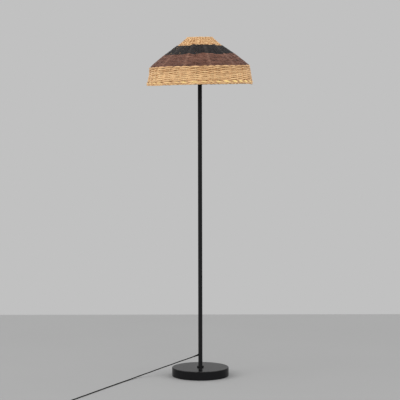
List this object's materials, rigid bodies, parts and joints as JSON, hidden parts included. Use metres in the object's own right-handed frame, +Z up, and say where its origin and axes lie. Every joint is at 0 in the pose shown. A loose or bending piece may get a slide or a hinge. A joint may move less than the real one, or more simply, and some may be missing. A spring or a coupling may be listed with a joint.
{
  "type": "floor lamp",
  "caption": "Floor lamp with a wide banded rattan shade woven on a wire frame, a slim steel pole, a round weighted base, and a lead with a foot switch and plug.",
  "frame": {"origin": "on the floor, under the middle of the round base", "axes": "+Z up the pole, -Y towards the viewer, and the lead leaves the pole on the -X side"},
  "size_m": [0.8199, 1.0144, 1.5399],
  "materials": {
    "satin_black": "satin powder coat, fine texture",
    "frame_black": "satin black wire",
    "zinc": "zinc plated",
    "concrete": "cast, matt",
    "felt": "pressed felt",
    "black_plastic": "moulded, fine grain",
    "black_pvc": "soft sheath, matt",
    "core": "glazed",
    "brass": "bright",
    "opal": "opal, satin",
    "cane_natural": "natural rattan, waxed",
    "cane_black": "stained rattan, matt",
    "cane_brown": "stained rattan, matt"
  },
  "bodies": {
    "stand": {"base_cover": "satin_black", "pole_collar": "satin_black", "pole_lower": "satin_black", "pole_middle": "satin_black", "pole_upper": "satin_black", "base_weight": "concrete", "base_plate": "zinc", "base_washer": "zinc", "base_nut": "zinc", "base_stud": "zinc", "pole_foot_bush": "zinc", "pole_joiner_lower": "zinc", "pole_joiner_upper": "zinc", "pole_top_bush": "zinc", "plug_pin_1": "zinc", "plug_pin_2": "zinc", "base_felt": "felt", "inner_lead": "black_pvc", "lead_gland": "black_pvc", "lead_run": "black_pvc", "lead_tail": "black_pvc", "lead_coil": "black_pvc", "switch_relief_near": "black_pvc", "switch_relief_far": "black_pvc", "plug_body": "black_pvc", "switch_base": "black_plastic", "switch_cover": "black_plastic", "holder_cup": "black_plastic", "holder_shell": "black_plastic", "holder_ring": "black_plastic", "holder_core": "core", "holder_contact": "brass", "holder_screw_shell": "brass", "bulb_cap": "brass", "bulb_globe": "opal"},
    "shade": {"shade_spider": "frame_black", "frame_ring_top": "frame_black", "frame_ring_neck": "frame_black", "frame_ring_shoulder": "frame_black", "frame_ring_rim": "frame_black", "frame_rib_01": "frame_black", "frame_rib_02": "frame_black", "frame_rib_03": "frame_black", "frame_rib_04": "frame_black", "frame_rib_05": "frame_black", "frame_rib_06": "frame_black", "frame_rib_07": "frame_black", "frame_rib_08": "frame_black", "frame_rib_09": "frame_black", "frame_rib_10": "frame_black", "frame_rib_11": "frame_black", "frame_rib_12": "frame_black", "top_braid": "cane_natural", "weave_top": "cane_natural", "weave_black": "cane_black", "weave_brown": "cane_brown", "weave_lower": "cane_natural", "rim_braid": "cane_natural"},
    "foot_button": {"switch_button": "black_plastic"}
  },
  "joints": [
    {"name": "shade_swivel", "type": "hinge", "parent": "stand", "child": "shade", "pos_m": [0, 0, 1.418], "axis": [0, 0, 1], "continuous": true},
    {"name": "foot_button_press", "type": "slide", "parent": "stand", "child": "foot_button", "axis": [0, 0, -1], "range_m": [0, 0.003], "stiffness_N_per_m": 400, "springref_m": -0.0015}
  ]
}
